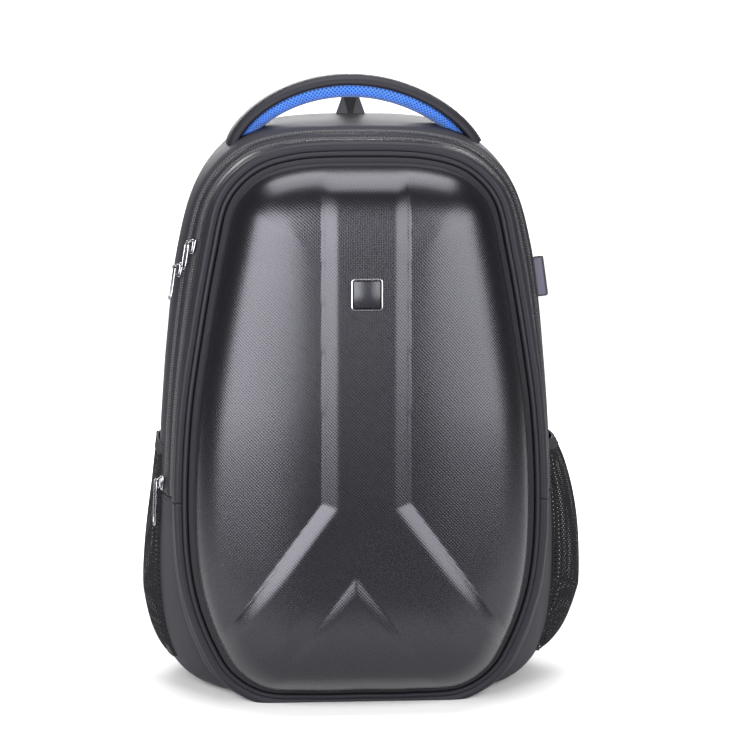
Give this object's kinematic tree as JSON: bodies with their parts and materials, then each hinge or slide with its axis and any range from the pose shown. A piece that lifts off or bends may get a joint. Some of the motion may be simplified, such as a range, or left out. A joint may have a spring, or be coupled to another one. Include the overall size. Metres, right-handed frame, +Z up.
{
  "type": "hard shell backpack",
  "caption": "Backpack with a domed moulded front shell, piped rolled rim, two arched zips, padded top handle, net side pockets and shoulder straps.",
  "frame": {"origin": "on the floor, under the middle of the bounding box", "axes": "+Z up, front of the shell towards -Y, shoulder straps towards +Y, +X to the right seen from the front"},
  "size_m": [0.3676, 0.292, 0.505],
  "materials": {
    "shell": "satin moulded shell, charcoal grey, with a fine embossed weave",
    "band_cloth": "smooth coated cloth, charcoal grey",
    "body_cloth": "coated cloth, charcoal grey",
    "zip": "black coil zip on woven tape",
    "padding": "black spacer mesh over foam",
    "webbing": "black woven webbing",
    "plastic": "black moulded plastic",
    "grip_mesh": "vivid blue knitted mesh",
    "net": "fine black net",
    "steel": "bright plated metal",
    "badge": "bare glossy near-black plate",
    "tab_cloth": "grey cloth tab with a dark edge"
  },
  "bodies": {
    "root": {"front_shell": "shell", "shell_piping": "band_cloth", "front_band": "band_cloth", "front_zip": "zip", "mid_band": "band_cloth", "main_zip": "zip", "body_gusset": "body_cloth", "base_panel": "body_cloth", "back_panel": "padding", "back_pad_left": "padding", "back_pad_right": "padding", "lumbar_pad": "padding", "strap_left": "padding", "strap_right": "padding", "strap_adjuster_left": "plastic", "strap_adjuster_right": "plastic", "strap_webbing_left": "webbing", "strap_webbing_right": "webbing", "handle_cover": "band_cloth", "handle_grip": "grip_mesh", "hang_loop": "webbing", "side_pocket_left": "net", "side_pocket_right": "net", "pocket_hem_left": "webbing", "pocket_hem_right": "webbing", "badge_frame": "steel", "badge_plate": "badge", "zip_slider_front": "steel", "zip_slider_main": "steel", "zip_slider_low": "steel", "zip_pull_front": "steel", "zip_pull_main": "steel", "zip_pull_low": "steel", "side_tab": "tab_cloth"}
  },
  "joints": []
}
